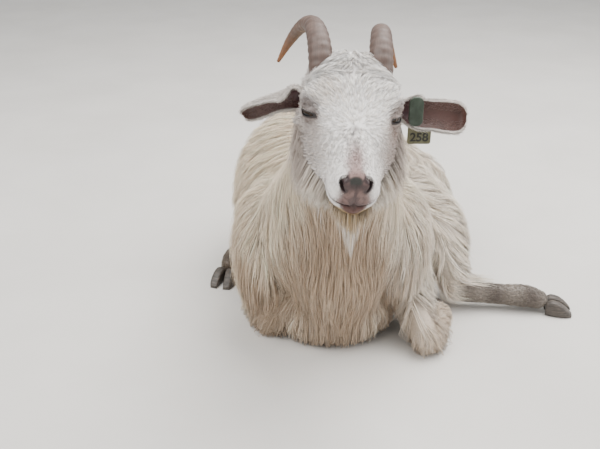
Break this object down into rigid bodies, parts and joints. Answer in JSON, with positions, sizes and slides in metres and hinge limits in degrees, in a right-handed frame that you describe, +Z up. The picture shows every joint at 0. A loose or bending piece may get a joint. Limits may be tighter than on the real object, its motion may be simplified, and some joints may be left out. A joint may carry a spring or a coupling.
{
  "type": "kiko goat",
  "caption": "Life-size model of an adult long-haired white goat with back-curved horns, lying on its brisket with its head raised.",
  "frame": {"origin": "on the floor under the middle of the brisket, on the flat that the trunk rests on", "axes": "+Y runs from the nose to the rump along the goat's length, +X is the goat's left side, +Z is up"},
  "size_m": [0.826, 1.0067, 0.6977],
  "materials": {
    "coat": "long soft cream hair, matte",
    "face": "short white hair, matte",
    "leg": "short grey-brown hair, matte",
    "ear": "thin skin, brown-pink in the hollow, short pale hair outside",
    "horn": "ringed keratin, satin",
    "hoof": "dark keratin, satin",
    "eye": "wet, dark amber with a level pupil",
    "tag": "dark green, worn",
    "flag": "olive green, worn"
  },
  "bodies": {
    "root": {"head": "face", "neck": "coat", "torso": "coat", "hindquarters": "coat", "thigh_left": "coat", "thigh_right": "coat", "tail": "coat", "horn_left": "horn", "horn_right": "horn", "ear_left": "ear", "ear_right": "ear", "eye_left": "eye", "eye_right": "eye", "foreleg_left": "face", "foreleg_right": "face", "hindleg_left": "leg", "hindleg_right": "leg", "tag_button": "tag", "tag_flag": "flag", "hoof_foreleg_left_inner": "hoof", "hoof_foreleg_left_outer": "hoof", "hoof_foreleg_right_inner": "hoof", "hoof_foreleg_right_outer": "hoof", "hoof_hindleg_left_inner": "hoof", "hoof_hindleg_left_outer": "hoof", "hoof_hindleg_right_inner": "hoof", "hoof_hindleg_right_outer": "hoof"}
  },
  "joints": []
}
